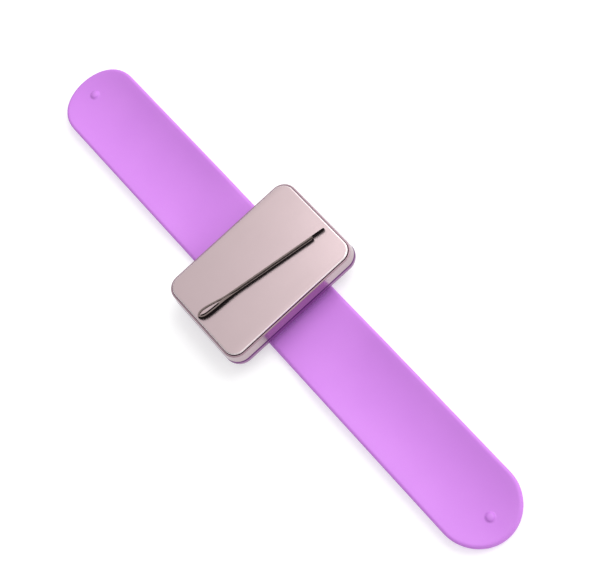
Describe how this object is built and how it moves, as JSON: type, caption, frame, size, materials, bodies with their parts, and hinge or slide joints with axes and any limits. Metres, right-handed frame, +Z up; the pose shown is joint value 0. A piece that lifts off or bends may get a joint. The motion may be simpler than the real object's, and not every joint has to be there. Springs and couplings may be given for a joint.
{
  "type": "magnetic wrist pin holder",
  "caption": "Slap band in purple silicone with a flat rectangular magnetic steel box across it that holds pins and hair grips on the wrist.",
  "frame": {"origin": "under the middle of the straight band, on the surface it lies on", "axes": "+X along the band towards its longer wing, +Y across the band, +Z up out of the box's top plate"},
  "size_m": [0.2458, 0.0582, 0.0161],
  "materials": {
    "silicone": "matte silicone rubber",
    "satin_steel": "satin, pinkish",
    "polished_steel": "polished",
    "spring_steel": "hardened and oiled",
    "plain_steel": "zinc plated",
    "ferrite": "sintered",
    "foam": "closed cell foam",
    "adhesive": "film",
    "dark_enamel": "glossy lacquer"
  },
  "bodies": {
    "box": {"sleeve_middle": "silicone", "spring_middle": "spring_steel", "tray_shell": "polished_steel", "stud_1": "plain_steel", "stud_2": "plain_steel", "push_washer_1": "spring_steel", "push_washer_2": "spring_steel", "foam_pad": "foam", "keeper_plate": "plain_steel", "magnet_1": "ferrite", "magnet_2": "ferrite", "plate_adhesive": "adhesive", "top_plate": "satin_steel"},
    "left_wing_1": {"left_sleeve_1": "silicone", "left_spring_1": "spring_steel"},
    "left_wing_2": {"left_sleeve_2": "silicone", "left_spring_2": "spring_steel"},
    "left_wing_3": {"left_sleeve_3": "silicone", "left_spring_3": "spring_steel"},
    "left_wing_4": {"left_sleeve_4": "silicone", "left_spring_4": "spring_steel"},
    "left_wing_5": {"left_sleeve_5": "silicone", "left_spring_5": "spring_steel"},
    "left_wing_6": {"left_sleeve_6": "silicone", "left_spring_6": "spring_steel"},
    "left_wing_7": {"left_sleeve_7": "silicone", "left_spring_7": "spring_steel"},
    "left_wing_8": {"left_sleeve_8": "silicone", "left_spring_8": "spring_steel"},
    "left_wing_9": {"left_sleeve_9": "silicone", "left_spring_9": "spring_steel"},
    "right_wing_1": {"right_sleeve_1": "silicone", "right_spring_1": "spring_steel"},
    "right_wing_2": {"right_sleeve_2": "silicone", "right_spring_2": "spring_steel"},
    "right_wing_3": {"right_sleeve_3": "silicone", "right_spring_3": "spring_steel"},
    "right_wing_4": {"right_sleeve_4": "silicone", "right_spring_4": "spring_steel"},
    "right_wing_5": {"right_sleeve_5": "silicone", "right_spring_5": "spring_steel"},
    "right_wing_6": {"right_sleeve_6": "silicone", "right_spring_6": "spring_steel"},
    "right_wing_7": {"right_sleeve_7": "silicone", "right_spring_7": "spring_steel"},
    "right_wing_8": {"right_sleeve_8": "silicone", "right_spring_8": "spring_steel"},
    "right_wing_9": {"right_sleeve_9": "silicone", "right_spring_9": "spring_steel"},
    "right_wing_10": {"right_sleeve_10": "silicone", "right_spring_10": "spring_steel"},
    "hair_grip": {"hair_grip": "dark_enamel"}
  },
  "joints": [
    {"name": "left_wing_curl", "type": "hinge", "parent": "box", "child": "left_wing_1", "pos_m": [-0.0276, 0, 0], "axis": [0, -1, 0], "range_deg": [0, 25]},
    {"name": "left_wing_curl_2", "type": "hinge", "parent": "left_wing_1", "child": "left_wing_2", "pos_m": [-0.0382, 0, 0], "axis": [0, -1, 0], "range_deg": [0, 25]},
    {"name": "left_wing_curl_3", "type": "hinge", "parent": "left_wing_2", "child": "left_wing_3", "pos_m": [-0.0488, 0, 0], "axis": [0, -1, 0], "range_deg": [0, 25]},
    {"name": "left_wing_curl_4", "type": "hinge", "parent": "left_wing_3", "child": "left_wing_4", "pos_m": [-0.0594, 0, 0], "axis": [0, -1, 0], "range_deg": [0, 25]},
    {"name": "left_wing_curl_5", "type": "hinge", "parent": "left_wing_4", "child": "left_wing_5", "pos_m": [-0.07, 0, 0], "axis": [0, -1, 0], "range_deg": [0, 25]},
    {"name": "left_wing_curl_6", "type": "hinge", "parent": "left_wing_5", "child": "left_wing_6", "pos_m": [-0.0806, 0, 0], "axis": [0, -1, 0], "range_deg": [0, 25]},
    {"name": "left_wing_curl_7", "type": "hinge", "parent": "left_wing_6", "child": "left_wing_7", "pos_m": [-0.0912, 0, 0], "axis": [0, -1, 0], "range_deg": [0, 25]},
    {"name": "left_wing_curl_8", "type": "hinge", "parent": "left_wing_7", "child": "left_wing_8", "pos_m": [-0.1018, 0, 0], "axis": [0, -1, 0], "range_deg": [0, 25]},
    {"name": "left_wing_curl_9", "type": "hinge", "parent": "left_wing_8", "child": "left_wing_9", "pos_m": [-0.1124, 0, 0], "axis": [0, -1, 0], "range_deg": [0, 25]},
    {"name": "right_wing_curl", "type": "hinge", "parent": "box", "child": "right_wing_1", "pos_m": [0.017, 0, 0], "axis": [0, 1, 0], "range_deg": [0, 21]},
    {"name": "right_wing_curl_2", "type": "hinge", "parent": "right_wing_1", "child": "right_wing_2", "pos_m": [0.0276, 0, 0], "axis": [0, 1, 0], "range_deg": [0, 21]},
    {"name": "right_wing_curl_3", "type": "hinge", "parent": "right_wing_2", "child": "right_wing_3", "pos_m": [0.0382, 0, 0], "axis": [0, 1, 0], "range_deg": [0, 21]},
    {"name": "right_wing_curl_4", "type": "hinge", "parent": "right_wing_3", "child": "right_wing_4", "pos_m": [0.0488, 0, 0], "axis": [0, 1, 0], "range_deg": [0, 21]},
    {"name": "right_wing_curl_5", "type": "hinge", "parent": "right_wing_4", "child": "right_wing_5", "pos_m": [0.0594, 0, 0], "axis": [0, 1, 0], "range_deg": [0, 21]},
    {"name": "right_wing_curl_6", "type": "hinge", "parent": "right_wing_5", "child": "right_wing_6", "pos_m": [0.07, 0, 0], "axis": [0, 1, 0], "range_deg": [0, 21]},
    {"name": "right_wing_curl_7", "type": "hinge", "parent": "right_wing_6", "child": "right_wing_7", "pos_m": [0.0806, 0, 0], "axis": [0, 1, 0], "range_deg": [0, 21]},
    {"name": "right_wing_curl_8", "type": "hinge", "parent": "right_wing_7", "child": "right_wing_8", "pos_m": [0.0912, 0, 0], "axis": [0, 1, 0], "range_deg": [0, 21]},
    {"name": "right_wing_curl_9", "type": "hinge", "parent": "right_wing_8", "child": "right_wing_9", "pos_m": [0.1018, 0, 0], "axis": [0, 1, 0], "range_deg": [0, 21]},
    {"name": "right_wing_curl_10", "type": "hinge", "parent": "right_wing_9", "child": "right_wing_10", "pos_m": [0.1124, 0, 0], "axis": [0, 1, 0], "range_deg": [0, 21]},
    {"name": "hair_grip_lift", "type": "slide", "parent": "box", "child": "hair_grip", "axis": [0, 0, 1], "range_m": [0, 0.03]}
  ],
  "couplings": [
    {"joint": "left_wing_curl_2", "follows": "left_wing_curl", "ratio": 1},
    {"joint": "left_wing_curl_3", "follows": "left_wing_curl", "ratio": 1},
    {"joint": "left_wing_curl_4", "follows": "left_wing_curl", "ratio": 1},
    {"joint": "left_wing_curl_5", "follows": "left_wing_curl", "ratio": 1},
    {"joint": "left_wing_curl_6", "follows": "left_wing_curl", "ratio": 1},
    {"joint": "left_wing_curl_7", "follows": "left_wing_curl", "ratio": 1},
    {"joint": "left_wing_curl_8", "follows": "left_wing_curl", "ratio": 1},
    {"joint": "left_wing_curl_9", "follows": "left_wing_curl", "ratio": 1},
    {"joint": "right_wing_curl_2", "follows": "right_wing_curl", "ratio": 1},
    {"joint": "right_wing_curl_3", "follows": "right_wing_curl", "ratio": 1},
    {"joint": "right_wing_curl_4", "follows": "right_wing_curl", "ratio": 1},
    {"joint": "right_wing_curl_5", "follows": "right_wing_curl", "ratio": 1},
    {"joint": "right_wing_curl_6", "follows": "right_wing_curl", "ratio": 1},
    {"joint": "right_wing_curl_7", "follows": "right_wing_curl", "ratio": 1},
    {"joint": "right_wing_curl_8", "follows": "right_wing_curl", "ratio": 1},
    {"joint": "right_wing_curl_9", "follows": "right_wing_curl", "ratio": 1},
    {"joint": "right_wing_curl_10", "follows": "right_wing_curl", "ratio": 1}
  ]
}
